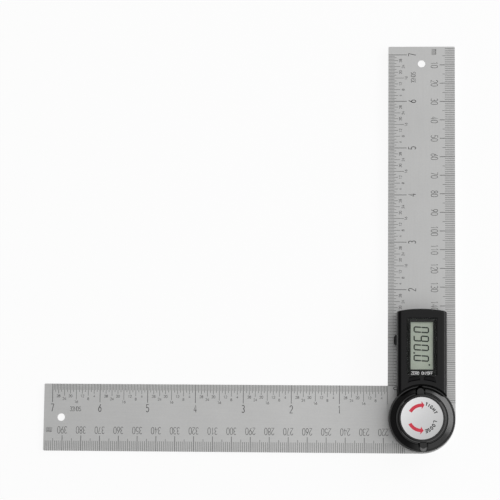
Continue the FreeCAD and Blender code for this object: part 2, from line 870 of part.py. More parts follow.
def make_display():
    """Display glass on two rubber connectors, a black frame over it and the clear window."""
    glass = make_plate("lcd_glass", glass_level, s.glass_width / 2, s.glass_bottom, s.glass_top,
                       deck_level + s.ceiling_height - glass_level)
    strips = []
    for name, side in zip(("zebra_left", "zebra_right"), SIDES):
        strip = doc.addObject("Part::Box", name)
        tie(strip, "Length", s.zebra_width)
        tie(strip, "Width", s.zebra_length)
        tie(strip, "Height", s.zebra_height)
        near_edge = (s.glass_width - s.zebra_width) / 2 * side - s.zebra_width / 2
        stand(strip, near_edge, (s.glass_bottom + s.glass_top - s.zebra_length) / 2, zebra_level)
        strips.append(strip)
    zebra = group("zebra_strips", strips)

    edge = s.window_width / 2 - s.seat_gap
    bottom = s.window_bottom + s.seat_gap
    top = s.window_top - s.seat_gap
    bezel = make_plate("display_bezel", bezel_level, edge, bottom, top, s.bezel_thickness)
    view = sketch_on(bezel)
    rectangle(view, -s.view_width / 2, s.view_width / 2, s.view_bottom, s.view_top)
    pocket(bezel, view, s.bezel_thickness, upward=True)
    lens = make_plate("window_lens", lens_level, edge, bottom, top, s.lens_thickness)
    soften(lens, s.lens_corner, is_upright)
    return [glass, zebra, bezel, lens]


def make_screws():
    """Countersunk screws in the upper rule, and pan heads under the main board."""
    case = []
    for number, (across, along) in enumerate(CASE_SCREWS, 1):
        head = doc.addObject("Part::Cone", f"case_head_{number}")
        tie(head, "Radius1", s.screw_head_radius)
        tie(head, "Radius2", s.screw_radius)
        tie(head, "Height", s.screw_head_radius - s.screw_radius)
        stand(head, across, along, upper_arm_level)
        shank = cylinder(f"case_shank_{number}", s.screw_radius, s.screw_length,
                         across, along, upper_arm_level)
        case.append(join(f"case_screw_{number}", head, shank))
    board = []
    head_level = board_level - s.board_screw_head_height
    shank_length = s.board_screw_head_height + s.board_thickness + s.board_screw_bite
    for number, (across, along) in enumerate(BOARD_SCREWS, 1):
        head = cylinder(f"board_head_{number}", s.board_screw_head_radius,
                        s.board_screw_head_height, across, along, head_level)
        shank = cylinder(f"board_shank_{number}", s.screw_radius, shank_length,
                         across, along, head_level)
        board.append(join(f"board_screw_{number}", head, shank))
    return [group("housing_screws", case), group("board_screws", board)]


# ---------------------------------------------------------------- battery

def make_battery_drawer():
    """Sliding tray for the cell: face plate with a finger tab, round pocket, slotted floor."""
    body = new_body("battery_drawer", drawer_level)
    low = s.cell_y - drawer_half
    high = s.cell_y + drawer_half
    tray = sketch_on(body)
    rectangle(tray, -half_box, s.cell_x, low, high)
    pad(body, tray, s.drawer_rim)
    back = sketch_on(body)
    circle(back, drawer_half, s.cell_x, s.cell_y)
    pad(body, back, s.drawer_rim)
    face = sketch_on(body)
    rectangle(face, -half_box, -half_inside, low, high)
    pad(body, face, s.drawer_face_height)
    tab_edge = s.drawer_floor - s.seat_gap
    tab = sketch_on(body, tab_edge)
    rectangle(tab, -half_box - s.tab_reach, -half_box, s.cell_y - s.tab_width / 2,
              s.cell_y + s.tab_width / 2)
    pad(body, tab, s.drawer_face_height - tab_edge * 2)
    outermost = -half_box - s.tab_reach + 0.01
    soften(body, tab_edge, lambda e: is_upright(e) and e.BoundBox.XMax < outermost)
    well = sketch_on(body, s.drawer_floor)
    circle(well, s.cell_radius + s.seat_gap, s.cell_x, s.cell_y)
    pocket(body, well, s.drawer_face_height, upward=True)
    slot = sketch_on(body)
    rectangle(slot, s.cell_x - s.floor_slot_width / 2, s.cell_x + drawer_half + 1,
              s.cell_y - s.floor_slot_width / 2, s.cell_y + s.floor_slot_width / 2)
    pocket(body, slot, s.drawer_floor, upward=True)
    return body


def make_coin_cell():
    """Coin cell: full-width can above, smaller cap below."""
    body = new_body("coin_cell")
    stand(body, s.cell_x, s.cell_y, cell_level)
    turn(body, [(0, 0), (s.cell_radius - 1.4, 0), (s.cell_radius - 1.2, 0.3),
                (s.cell_radius - 0.4, 0.3), (s.cell_radius, 0.7),
                (s.cell_radius, s.cell_thickness), (0, s.cell_thickness)])
    return body


def make_contact(label, level, corners):
    """Spring leaf bent from strip, drawn from the side and padded across its width."""
    body = new_body(label, level)
    side = sketch_on(body, -s.cell_y, "XZ_Plane")
    outline(side, corners)
    leaf = body.newObject("PartDesign::Pad", label + "_leaf")
    leaf.Profile = side
    leaf.Midplane = True
    tie(leaf, "Length", s.contact_width)
    finish_feature(body, leaf, True)
    return body


def make_contacts():
    """Spring leaves that press on the cell through the drawer's slotted floor and from above."""
    anchor = 9.5       # where the leaves are held, from the pivot's plane
    bend = 4.5
    nose = 1.0
    strip = 0.2
    touch = s.drawer_floor + s.seat_gap - s.running_gap
    low = make_contact("battery_contact_negative", deck_level + s.base_thickness,
                       [(anchor, 0), (anchor, strip), (bend, strip), (nose, touch), (0, touch),
                        (0, touch - strip), (nose, touch - strip), (bend, 0)])
    room = board_level - cell_level - s.cell_thickness
    thin = strip / 2
    gap = s.running_gap
    high = make_contact("battery_contact_positive", cell_level + s.cell_thickness,
                        [(anchor, room), (anchor, room - thin), (3.0, room - thin), (nose, gap),
                         (0, gap), (0, gap + thin), (nose, gap + thin), (2.6, room)])
    return [low, high]


# ---------------------------------------------------------------- lock knob

def make_lock_knob():
    """Hollow moulded knob: skirt, stepped rim, sloping ring, groove, raised boss, two grip lugs."""
    body = new_body("lock_knob")
    body.Placement = Placement(Vector(0, 0, s.knob_bottom), Rotation(Vector(0, 0, 1), s.knob_angle))
    body.setExpression("Placement.Base.z", s.knob_bottom.formula)
    body.setExpression("Placement.Rotation.Angle", s.knob_angle.formula)

    def up(level):
        return level - s.knob_bottom

    # Solid form from the skirt's foot, over the rim, the sloping ring and the boss, to the label well.
    draft = 0.3
    ring_step = 0.15
    groove_outer = s.boss_radius + s.groove_width
    groove_floor = up(s.ring_inner_top) - s.groove_depth
    rim = up(s.rim_top)
    crest = up(s.boss_top)
    well = s.label_radius + s.label_margin
    label_floor = crest - s.label_well_depth
    turn(body, [(0, 0), (s.knob_radius, 0), (s.knob_radius, rim - s.rim_bevel),
                (s.knob_radius - s.rim_bevel, rim), (s.ring_radius + ring_step, rim),
                (s.ring_radius, up(s.ring_outer_top)), (groove_outer, up(s.ring_inner_top)),
                (groove_outer - draft, groove_floor), (s.boss_radius, groove_floor),
                (s.boss_radius, crest - s.boss_bevel), (s.boss_radius - draft, crest - draft),
                (s.boss_radius - s.boss_bevel, crest), (well, crest), (well, label_floor),
                (0, label_floor)])

    # Tapered grip lug from inside the boss out over the ring, and its twin across the knob.
    half_lug = s.lug_width / 2
    lug_root = 2.5
    lug_start = s.boss_radius - lug_root
    lug_shoulder = s.lug_reach - half_lug
    lug = sketch_on(body, up(s.lug_foot))
    outline(lug, [(-half_lug, lug_start), (half_lug, lug_start), (half_lug, lug_shoulder, half_lug),
                  (0, s.lug_reach, half_lug), (-half_lug, lug_shoulder)])
    tapered = body.newObject("PartDesign::Pad", "lock_knob_lug")
    tapered.Profile = lug
    tie(tapered, "TaperAngle", -s.lug_taper)
    tie(tapered, "Length", s.lug_top - s.lug_foot)
    finish_feature(body, tapered, True)
    repeat_round(body, [tapered], 2)

    # Hollow under the skirt and the boss, the hub's foot and the bore for the insert.
    skirt_inside = s.knob_radius - s.knob_wall
    boss_inside = s.boss_radius - s.knob_wall
    roof_under = label_floor - s.knob_wall
    bore_top = up(s.thread_top) + 0.4
    turn(body, [(0, 0), (skirt_inside, 0), (skirt_inside, up(s.ring_outer_top) - s.knob_wall),
                (boss_inside, up(s.ring_inner_top) - s.knob_wall), (boss_inside, roof_under),
                (s.hub_radius, roof_under), (s.hub_radius, s.hub_foot),
                (s.insert_radius, s.hub_foot), (s.insert_radius, bore_top), (0, bore_top)], cut=True)

    # Stiffening ribs between hub and boss.
    rib_foot = s.hub_foot + 0.6
    sunk = 0.3
    rib = sketch_on(body, rib_foot)
    rectangle(rib, -s.rib_width / 2, s.rib_width / 2, s.hub_radius - sunk, boss_inside + sunk)
    rib_pad = pad(body, rib, roof_under - rib_foot + sunk)
    repeat_round(body, [rib_pad], 6)
    return body


def make_knob_insert():
    """Threaded brass insert moulded in the knob's hub."""
    foot = s.knob_bottom + s.hub_foot
    height = s.thread_top - foot
    bore = s.thread_radius + s.running_gap
    body = new_body("knob_insert", foot)
    turn(body, [(bore, 0), (s.insert_radius, 0), (s.insert_radius, height), (bore, height)])
    return body


def make_knob_label():
    """Thin metal disc that sits in the well on top of the knob."""
    body = new_body("knob_label", s.boss_top - s.label_well_depth)
    turn(body, [(0, 0), (s.label_radius, 0), (s.label_radius, s.label_thickness),
                (0, s.label_thickness)])
    return body


def make_clamp_washer():
    """Pressure washer under the knob, with two keys that stop it turning."""
    under_hub = s.knob_bottom + s.hub_foot - s.running_gap
    bore = s.thread_radius + 0.4
    half_key = s.washer_key_width / 2
    body = new_body("clamp_washer", under_hub - s.clamp_washer_thickness)
    turn(body, [(bore, 0), (s.clamp_washer_radius, 0),
                (s.clamp_washer_radius, s.clamp_washer_thickness), (bore, s.clamp_washer_thickness)])
    keys = sketch_on(body)
    for side in SIDES:
        near, far = span(side, s.washer_key_start, s.clamp_washer_radius)
        rectangle(keys, near, far, -half_key, half_key)
    pad(body, keys, s.washer_key_depth, downward=True)
    return body


# ---------------------------------------------------------------- assembly

def build():
    pieces = [
        make_upper_arm(),
        make_pivot_bush(),
        make_housing(),
        make_housing_base(),
        *make_screws(),
        *make_display(),
        make_circuit_board(),
        make_board_pins(),
        make_key_pad(),
        *make_contacts(),
        make_encoder_stator(),
        make_lower_arm(),
        make_pivot_stud(),
        make_arm_washer(),
        make_encoder_rotor(),
        make_retaining_clip(),
        make_clamp_washer(),
        make_lock_knob(),
        make_knob_insert(),
        make_knob_label(),
        make_button("zero_button", -1),
        make_button("power_button", 1),
        make_battery_drawer(),
        make_coin_cell(),
    ]
    doc.recompute()
    for thing in doc.Objects:
        if "Invalid" in thing.State or "Error" in thing.State:
            raise RuntimeError(f"{thing.Label} failed: {thing.State}")
    os.makedirs("parts", exist_ok=True)
    for piece in pieces:
        shape = piece.Shape
        if shape.isNull() or not shape.isValid():
            raise RuntimeError(f"{piece.Label} has no valid shape")
        shape.exportStep(f"parts/{piece.Label}.step")
        print(f"{piece.Label}: {len(shape.Solids)} solid(s), {shape.Volume:.1f} mm3")


build()
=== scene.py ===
import math

import bmesh
import bpy
from mathutils import Matrix, Vector


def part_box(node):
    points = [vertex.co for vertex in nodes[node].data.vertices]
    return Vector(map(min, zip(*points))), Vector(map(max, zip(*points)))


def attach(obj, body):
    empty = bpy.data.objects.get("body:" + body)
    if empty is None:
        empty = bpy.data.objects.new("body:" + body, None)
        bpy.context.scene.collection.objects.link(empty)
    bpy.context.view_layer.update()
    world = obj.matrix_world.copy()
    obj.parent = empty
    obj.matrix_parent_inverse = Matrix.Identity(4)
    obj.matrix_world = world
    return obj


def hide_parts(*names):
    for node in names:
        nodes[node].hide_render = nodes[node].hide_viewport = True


# Angle finder with arms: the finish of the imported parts, the graduations, numerals, display
# segments and printed artwork, the ribs on the drawer's finger tab, the case screws with their
# cross recesses, and a pale studio seen from above.

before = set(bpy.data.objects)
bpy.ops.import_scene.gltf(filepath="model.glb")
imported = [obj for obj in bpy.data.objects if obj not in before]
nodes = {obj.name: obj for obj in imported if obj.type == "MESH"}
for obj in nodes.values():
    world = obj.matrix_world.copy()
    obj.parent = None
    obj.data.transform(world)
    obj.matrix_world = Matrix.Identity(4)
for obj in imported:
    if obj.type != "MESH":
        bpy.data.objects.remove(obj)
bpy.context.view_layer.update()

MM = 0.001
UPPER = "head_and_upper_arm"
LOWER = "lower_arm"

# ---------------------------------------------------------------- places read from the frame

TAB_REACH = 1.0 * MM     # how far the drawer's finger tab stands out of the readout box

upper_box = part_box("upper_arm")
HALF_ARM = upper_box[1].x
ARM_LENGTH = upper_box[1].y
UPPER_TOP = upper_box[1].z
LOWER_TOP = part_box("lower_arm")[1].z
GLASS_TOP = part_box("lcd_glass")[1].z
BEZEL_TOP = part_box("display_bezel")[1].z
LABEL_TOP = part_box("knob_label")[1].z
LABEL_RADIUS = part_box("knob_label")[1].x
BOX_SIDE = -TAB_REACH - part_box("battery_drawer")[0].x
BOX_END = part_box("housing")[1].y


# ---------------------------------------------------------------- objects and pieces

def add_object(name, data):
    """A new object in the scene."""
    thing = bpy.data.objects.new(name, data)
    bpy.context.scene.collection.objects.link(thing)
    return thing


def make_mesh(name, points, faces):
    mesh = bpy.data.meshes.new(name)
    mesh.from_pydata(points, [], faces)
    mesh.validate()
    mesh.update()
    return mesh


def add_piece(mesh, material, body):
    """A piece named as its mesh, which rides on a CAD body."""
    mesh.materials.append(material)
    piece = add_object(mesh.name, mesh)
    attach(piece, body)
    return piece


# ---------------------------------------------------------------- camera

CAMERA_LENS = 151.2
CAMERA_SENSOR = 36
CAMERA_SIGHT = (0.01, 20)               # nearest and farthest, in metres
CAMERA_PLACE = (-0.020585, -0.06047, 1.109551)
CAMERA_TURN = (7.743, 3.563, 0.627)     # degrees about x, y and z


def make_camera():
    data = bpy.data.cameras.new("camera")
    data.lens = CAMERA_LENS
    data.sensor_width = CAMERA_SENSOR
    data.clip_start, data.clip_end = CAMERA_SIGHT
    camera = add_object("camera", data)
    camera.location = CAMERA_PLACE
    camera.rotation_euler = [math.radians(angle) for angle in CAMERA_TURN]
    bpy.context.scene.camera = camera


# ---------------------------------------------------------------- shader nodes

EVEN = (1, 1, 1)
NOISE_DETAIL = 6.0
NOISE_ROUGHNESS = 0.6
NOISE_LOW = 0.3          # most of a noise's values lie between these two
NOISE_HIGH = 0.7
SHADER_INPUTS = {
    "colour": "Base Color", "metal": "Metallic", "rough": "Roughness", "normal": "Normal",
    "ior": "IOR", "specular": "Specular IOR Level", "through": "Transmission Weight",
    "alpha": "Alpha",
}


class Nodes:
    """Short calls that add and join the shader nodes of a material or a world.

    Places are in the object's own frame, so a noise's scale is in cells per metre and a
    bump's depth is in metres.
    """

    def __init__(self, owner):
        owner.use_nodes = True
        self.owner = owner
        self.tree = owner.node_tree
        self.tree.nodes.clear()

    def add(self, kind, inputs=None, **settings):
        node = self.tree.nodes.new("ShaderNode" + kind)
        for key, value in settings.items():
            setattr(node, key, value)
        for key, value in (inputs or {}).items():
            if isinstance(value, bpy.types.NodeSocket):
                self.tree.links.new(value, node.inputs[key])
            else:
                node.inputs[key].default_value = value
        return node

    def place(self):
        return self.add("TexCoord").outputs["Object"]

    def noise(self, scale, stretch=EVEN):
        mapping = self.add("Mapping", {"Vector": self.place(), "Scale": stretch})
        node = self.add("TexNoise", {"Vector": mapping.outputs["Vector"], "Scale": scale,
                                     "Detail": NOISE_DETAIL, "Roughness": NOISE_ROUGHNESS})
        return node.outputs["Fac"]

    def ramp(self, value, stops):
        """A colour ramp from (position, colour) stops."""
        node = self.add("ValToRGB", {"Fac": value})
        elements = node.color_ramp.elements
        while len(elements) < len(stops):
            elements.new(0.5)
        for element, (position, colour) in zip(elements, stops):
            element.position = position
            element.color = (*colour, 1.0)
        return node.outputs["Color"]

    def two_tone(self, value, first, second, low=NOISE_LOW, high=NOISE_HIGH):
        return self.ramp(value, [(low, first), (high, second)])

    def spread(self, value, first, second, low=NOISE_LOW, high=NOISE_HIGH, **settings):
        """Runs from first to second while the value goes from low to high."""
        node = self.add("MapRange", {"Value": value, "From Min": low, "From Max": high,
                                     "To Min": first, "To Max": second}, **settings)
        return node.outputs["Result"]

    def mix(self, share, first, second):
        """All first at a share of 0, all second at 1."""
        return self.add("Mix", {"Factor": share, "A": first, "B": second}).outputs["Result"]

    def bump(self, height, strength, depth):
        node = self.add("Bump", {"Height": height, "Strength": strength, "Distance": depth})
        return node.outputs["Normal"]

    def shade(self, **inputs):
        """The Principled shader that ends a material."""
        named = {SHADER_INPUTS[key]: value for key, value in inputs.items()}
        shader = self.add("BsdfPrincipled", named)
        self.add("OutputMaterial", {"Surface": shader.outputs["BSDF"]})
        return self.owner


def material_nodes(name):
    return Nodes(bpy.data.materials.new(name))


def toned(colour, factor, lift=0.0):
    """A colour made darker or paler."""
    return tuple(min(1.0, part * factor + lift) for part in colour)


# ---------------------------------------------------------------- materials

STEEL_TINT = (1.0, 1.0, 0.993)
STEEL_CONTRAST = (0.93, 1.07)
STEEL_ROUGHNESS = (0.54, 0.62)
BRUSHING = {"x": (1, 30, 30), "y": (30, 1, 30)}     # finer across an arm than along it
FILM_DULL = (0.44, 0.484, 0.41)
FILM_BRIGHT = (0.506, 0.554, 0.475)
LABEL_PAINTED_LIGHT_HEADING = 40.0     # painted light: the disc's fade runs at this heading, in degrees from the x axis towards the lower right
# Painted light: the disc's pale, middle and darker tones, from its upper left to its lower right.
LABEL_PAINTED_LIGHT_TONES = ((0.12, (0.97, 0.97, 0.975)), (0.5, (0.76, 0.76, 0.765)),
               (0.88, (0.62, 0.625, 0.625)))


def steel_rule(name, along, shine):
    """Satin stainless strip: fine brushing along its length over a faintly cloudy ground."""
    kit = material_nodes(name)
    streaks = kit.noise(60.0, BRUSHING[along])
    cloudy = kit.noise(35.0)
    grain = kit.noise(1100.0)
    tone = kit.mix(0.35, kit.mix(0.55, streaks, cloudy), grain)
    dull, bright = (toned(STEEL_TINT, shine * contrast) for contrast in STEEL_CONTRAST)
    relief = kit.mix(0.6, streaks, grain)
    return kit.shade(colour=kit.two_tone(tone, dull, bright), metal=1.0,
                     rough=kit.spread(tone, *STEEL_ROUGHNESS),
                     normal=kit.bump(relief, 0.05, 0.00003))


def moulded(name, colour, rough, texture=0.25, specular=0.5):
    """Moulded plastic with a fine spark-eroded texture and slight handling marks."""
    kit = material_nodes(name)
    grain = kit.noise(2600.0)
    wipes = kit.noise(60.0)
    return kit.shade(colour=kit.two_tone(wipes, colour, toned(colour, 1.35), high=0.75),
                     rough=kit.spread(wipes, rough - 0.05, rough + 0.06), specular=specular,
                     normal=kit.bump(grain, texture, 0.00002))


def turned_metal(name, colour, rough):
    """Bright metal with turning marks round the pivot axis."""
    kit = material_nodes(name)
    rings = kit.add("TexWave", {"Vector": kit.place(), "Scale": 900.0, "Distortion": 0.6},
                    wave_type="RINGS", rings_direction="Z").outputs["Fac"]
    wear = kit.noise(140.0)
    return kit.shade(colour=kit.two_tone(wear, toned(colour, 0.8), colour), metal=1.0,
                     rough=kit.spread(wear, rough, rough + 0.12),
                     normal=kit.bump(rings, 0.15, 0.00001))


def board_green():
    """Solder mask over copper: dark green with traces showing as a faint relief."""
    kit = material_nodes("board_green")
    traces = kit.add("TexBrick", {"Vector": kit.place(), "Scale": 350.0, "Mortar Size": 0.06,
                                  "Color1": (0.02, 0.16, 0.06, 1),
                                  "Color2": (0.015, 0.13, 0.05, 1),
                                  "Mortar": (0.05, 0.26, 0.10, 1)})
    return kit.shade(colour=traces.outputs["Color"], rough=0.35,
                     normal=kit.bump(traces.outputs["Fac"], 0.3, 0.00003))


def display_film():
    """Grey-green reflector behind the display, slightly cloudy."""
    kit = material_nodes("display")
    grain = kit.noise(4200.0)
    mottle = kit.mix(0.3, kit.noise(240.0), grain)
    return kit.shade(colour=kit.two_tone(mottle, FILM_DULL, FILM_BRIGHT), metal=0.75, rough=0.5,
                     normal=kit.bump(grain, 0.1, 0.00001))


def clear_window():
    """Clear acrylic: most light goes straight through, with a faint gloss."""
    kit = material_nodes("clear_window")
    scuffs = kit.noise(300.0, (1, 6, 1))
    return kit.shade(colour=(0.95, 0.98, 0.96, 1.0), through=1.0, alpha=0.08, ior=1.45,
                     rough=kit.spread(scuffs, 0.02, 0.06, low=0.4, high=0.8))


def label_metal():
    """Silvery disc with painted light, palest towards its upper left and darker towards its lower
    right, with a fine sparkle.
    """
    kit = material_nodes("label_metal")
    heading = kit.add("Mapping", {"Vector": kit.place(),
                                  "Rotation": (0, 0, math.radians(LABEL_PAINTED_LIGHT_HEADING))})
    across = kit.add("SeparateXYZ", {"Vector": heading.outputs["Vector"]}).outputs["X"]
    # Painted light: the disc is made pale towards its upper left and darker towards its lower
    # right.
    painted_light_fade = kit.spread(across, 0.0, 1.0, low=-LABEL_RADIUS, high=LABEL_RADIUS)
    sparkle = kit.noise(2600.0)
    return kit.shade(colour=kit.ramp(kit.mix(0.22, painted_light_fade, sparkle), LABEL_PAINTED_LIGHT_TONES), metal=0.2,
                     rough=0.42, normal=kit.bump(sparkle, 0.12, 0.00001))


def ink(name, colour, rough=0.55):
    """Printed or etched ink with a slightly uneven density."""
    kit = material_nodes(name)
    paler = toned(colour, 1.25, lift=0.01)
    return kit.shade(colour=kit.two_tone(kit.noise(1500.0), colour, paler, low=0.35), rough=rough)


def rubber(name):
    kit = material_nodes(name)
    grain = kit.noise(1800.0)
    return kit.shade(colour=kit.two_tone(grain, (0.02, 0.02, 0.02), (0.04, 0.04, 0.04)),
                     rough=0.8, normal=kit.bump(grain, 0.2, 0.00002))


def dress(node_names, material):
    """Give CAD nodes a material in place of the plain one they come with."""
    for name in node_names:
        mesh = nodes[name].data
        mesh.materials.clear()
        mesh.materials.append(material)


def dress_frame():
    # The two rules are one steel; the lower one is given a paler tone than the upper one, which is
    # painted light.
    dress(["upper_arm"], steel_rule("rule_steel_upper", "y", 0.66))
    dress(["lower_arm"], steel_rule("rule_steel_lower", "x", 0.71))
    dress(["housing", "housing_base", "battery_drawer"],
          moulded("housing_black", (0.0015, 0.0015, 0.0018), 0.22, specular=0.3))
    dress(["lock_knob"],
          moulded("knob_black", (0.0012, 0.0012, 0.0012), 0.2, texture=0.3, specular=0.55))
    dress(["zero_button", "power_button"],
          moulded("button_black", (0.0015, 0.0015, 0.002), 0.14, texture=0.05, specular=0.16))
    dress(["display_bezel"], moulded("bezel_black", (0.006, 0.008, 0.006), 0.3, texture=0.05))
    dress(["key_pad", "zebra_strips"], rubber("black_rubber"))
    dress(["lcd_glass"], display_film())
    dress(["window_lens"], clear_window())
    dress(["knob_label"], label_metal())
    dress(["circuit_board", "encoder_stator", "encoder_rotor"], board_green())
    dress(["pivot_bush", "knob_insert"], turned_metal("brass", (0.80, 0.58, 0.26), 0.25))
    dress(["pivot_stud", "clamp_washer"],
          turned_metal("stud_steel", (0.55, 0.55, 0.55), 0.25))
    dress(["housing_screws", "board_screws"],
          turned_metal("screw_steel", (0.42, 0.42, 0.43), 0.3))
    dress(["retaining_clip", "board_pins", "battery_contact_negative",
           "battery_contact_positive"], turned_metal("spring_metal", (0.68, 0.66, 0.6), 0.22))
    dress(["coin_cell"], turned_metal("cell_steel", (0.66, 0.66, 0.66), 0.2))
    dress(["arm_washer"], moulded("white_washer", (0.78, 0.78, 0.75), 0.5, texture=0.1))


# ---------------------------------------------------------------- flat geometry

def left_of(heading):
    """A direction turned a quarter anticlockwise."""
    return Vector((-heading.y, heading.x))


def around(radius, degrees):
    """A point on a circle about the origin."""
    angle = math.radians(degrees)
    return (radius * math.cos(angle), radius * math.sin(angle))


def rotated(x, y, degrees):
    """A point turned anticlockwise about the origin."""
    cos, sin = around(1.0, degrees)
    return (x * cos - y * sin, x * sin + y * cos)


# ---------------------------------------------------------------- strokes and lettering

# Each glyph is a list of strokes in a box one high and one wide (times its own width factor).
# A stroke is a chain of points (x, y) and arcs (centre x, centre y, radius x, radius y, from, to).
GLYPHS = {
    "0": [[(0.5, 0.68, 0.5, 0.32, 0, 180), (0.5, 0.32, 0.5, 0.32, 180, 360), (1, 0.68)]],
    "1": [[(0.2, 0.82), (0.55, 1.0), (0.55, 0.0)]],
    "2": [[(0.5, 0.72, 0.48, 0.28, 170, 0), (0.98, 0.6), (0.0, 0.0), (1.0, 0.0)]],
    "3": [[(0.48, 0.76, 0.46, 0.24, 150, -90), (0.48, 0.26, 0.5, 0.26, 90, -150)]],
    "4": [[(1.0, 0.28), (0.0, 0.28), (0.72, 1.0), (0.72, 0.0)]],
    "5": [[(0.92, 1.0), (0.14, 1.0), (0.08, 0.56), (0.48, 0.32, 0.5, 0.32, 115, -150)]],
    "6": [[(0.82, 1.0), (0.5, 0.31, 0.5, 0.31, 160, 520)]],
    "7": [[(0.0, 1.0), (1.0, 1.0), (0.38, 0.0)]],
    "8": [[(0.5, 0.77, 0.42, 0.23, -90, 270)], [(0.5, 0.27, 0.5, 0.27, 90, 450)]],
    "9": [[(0.18, 0.0), (0.5, 0.69, 0.5, 0.31, -20, 340)]],
    "m": [[(0.0, 0.0), (0.0, 0.7)], [(0.0, 0.5), (0.25, 0.52, 0.25, 0.18, 180, 0), (0.5, 0.0)],
          [(0.5, 0.5), (0.75, 0.52, 0.25, 0.18, 180, 0), (1.0, 0.0)]],
    "N": [[(0.0, 0.0), (0.0, 1.0), (1.0, 0.0), (1.0, 1.0)]],
    "D": [[(0.0, 0.0), (0.0, 1.0), (0.4, 1.0), (0.4, 0.5, 0.6, 0.5, 90, -90), (0.0, 0.0)]],
    "S": [[(0.5, 0.75, 0.48, 0.25, 25, 270), (0.5, 0.25, 0.5, 0.25, 90, -155)]],
    "Z": [[(0.0, 1.0), (1.0, 1.0), (0.0, 0.0), (1.0, 0.0)]],
    "E": [[(1.0, 1.0), (0.0, 1.0), (0.0, 0.0), (1.0, 0.0)], [(0.0, 0.52), (0.85, 0.52)]],
    "R": [[(0.0, 0.0), (0.0, 1.0), (0.6, 1.0), (0.6, 0.74, 0.38, 0.26, 90, -90), (0.0, 0.48)],
          [(0.5, 0.48), (1.0, 0.0)]],
    "O": [[(0.5, 0.5, 0.5, 0.5, 90, 450)]],
    "F": [[(0.0, 0.0), (0.0, 1.0), (1.0, 1.0)], [(0.0, 0.52), (0.8, 0.52)]],
    "T": [[(0.0, 1.0), (1.0, 1.0)], [(0.5, 1.0), (0.5, 0.0)]],
    "I": [[(0.5, 0.0), (0.5, 1.0)]],
    "G": [[(0.5, 0.5, 0.5, 0.5, 40, 350), (0.98, 0.45), (0.6, 0.45)]],
    "H": [[(0.0, 0.0), (0.0, 1.0)], [(1.0, 0.0), (1.0, 1.0)], [(0.0, 0.5), (1.0, 0.5)]],
    "L": [[(0.0, 1.0), (0.0, 0.0), (1.0, 0.0)]],
    "/": [[(0.0, -0.05), (1.0, 1.05)]],
}
ARC_STEP = 30.0          # degrees
ONE_POINT = 1e-4         # glyph points nearer than this are one
CLOSED_GAP = 1e-7        # a line that ends this near its start is closed, in metres
TURNS_BACK = 1e-6        # two headings whose sum is shorter than this are opposite
MITRE_LIMIT = 0.8
INK_LAYERS = 4           # crossing strokes lie on layers, so that no two tops share a plane
LAYER_RISE = 0.12        # as a share of the ink's thickness
LETTER_GAP = 0.3         # between letters, as a share of their width


def sides(points, closed, width):
    """The left and right edges of a ribbon along a line of points, mitred at its corners."""
    count = len(points)
    left, right = [], []
    for n, point in enumerate(points):
        into = (point - points[n - 1]).normalized() if closed or n else None
        out = None
        if closed or n < count - 1:
            out = (points[(n + 1) % count] - point).normalized()
        into, out = into or out, out or into
        heading = into + out
        heading = heading.normalized() if heading.length > TURNS_BACK else into
        side = left_of(heading)
        reach = width / 2 / max(MITRE_LIMIT, side.dot(left_of(into)))
        left.append(point + side * reach)
        right.append(point - side * reach)
    return left, right


class Ink:
    """Flat marks gathered in one mesh, each a closed sliver of ink on a surface."""

    def __init__(self, level, thickness):
        self.level = level
        self.thickness = thickness
        self.layer = 0
        self.points = []
        self.faces = []

    def slab(self, loop):
        """A closed prism over a flat outline given anticlockwise."""
        first = len(self.points)
        count = len(loop)
        for height in (self.level - self.thickness, self.level + self.thickness):
            self.points += [(x, y, height) for x, y in loop]
        self.faces.append([first + n for n in reversed(range(count))])
        self.faces.append([first + count + n for n in range(count)])
        for n in range(count):
            following = (n + 1) % count
            self.faces.append([first + n, first + following,
                               first + count + following, first + count + n])

    def bar(self, x0, x1, y0, y1):
        left, right = sorted((x0, x1))
        low, high = sorted((y0, y1))
        self.slab([(left, low), (right, low), (right, high), (left, high)])

    def segment(self, line, width):
        """A display segment: a bar with pointed ends."""
        start, end = Vector(line[0]), Vector(line[1])
        along = (end - start).normalized()
        side = left_of(along) * width / 2
        point = along * width / 2
        self.slab([tuple(p) for p in (start - point, start - side, end - side, end + point,
                                      end + side, start + side)])

    def stroke(self, line, width):
        """A ribbon of even width along a line of points."""
        closed = (Vector(line[0]) - Vector(line[-1])).length < CLOSED_GAP
        points = [Vector(p) for p in (line[:-1] if closed else line)]
        count = len(points)
        first = len(self.points)
        self.layer = (self.layer + 1) % INK_LAYERS
        top = self.level + self.thickness * (1 + LAYER_RISE * self.layer)
        for edge in sides(points, closed, width):
            for height in (self.level - self.thickness, top):
                self.points += [(p.x, p.y, height) for p in edge]
        low_left, top_left = first, first + count
        low_right, top_right = first + 2 * count, first + 3 * count
        for n in range(count if closed else count - 1):
            m = (n + 1) % count
            self.faces += [[top_left + n, top_right + n, top_right + m, top_left + m],
                           [low_left + m, low_right + m, low_right + n, low_left + n],
                           [low_left + n, top_left + n, top_left + m, low_left + m],
                           [low_right + m, top_right + m, top_right + n, low_right + n]]
        if not closed:
            last = count - 1
            self.faces += [[low_left, low_right, top_right, top_left],
                           [top_left + last, top_right + last, low_right + last, low_left + last]]

    def piece(self, name, material, body, slot):
        add_piece(make_mesh(name, self.points, self.faces), material, body)


def trace(stroke):
    """Turn a glyph stroke's points and arcs into a plain list of points."""
    line = []
    for step in stroke:
        if len(step) == 2:
            line.append(step)
            continue
        x, y, rx, ry, start, stop = step
        count = max(2, round(abs(stop - start) / ARC_STEP))
        for n in range(count + 1):
            angle = math.radians(start + (stop - start) * n / count)
            line.append((x + rx * math.cos(angle), y + ry * math.sin(angle)))
    kept = [line[0]]
    for point in line[1:]:
        if (Vector(point) - Vector(kept[-1])).length > ONE_POINT:
            kept.append(point)
    return kept


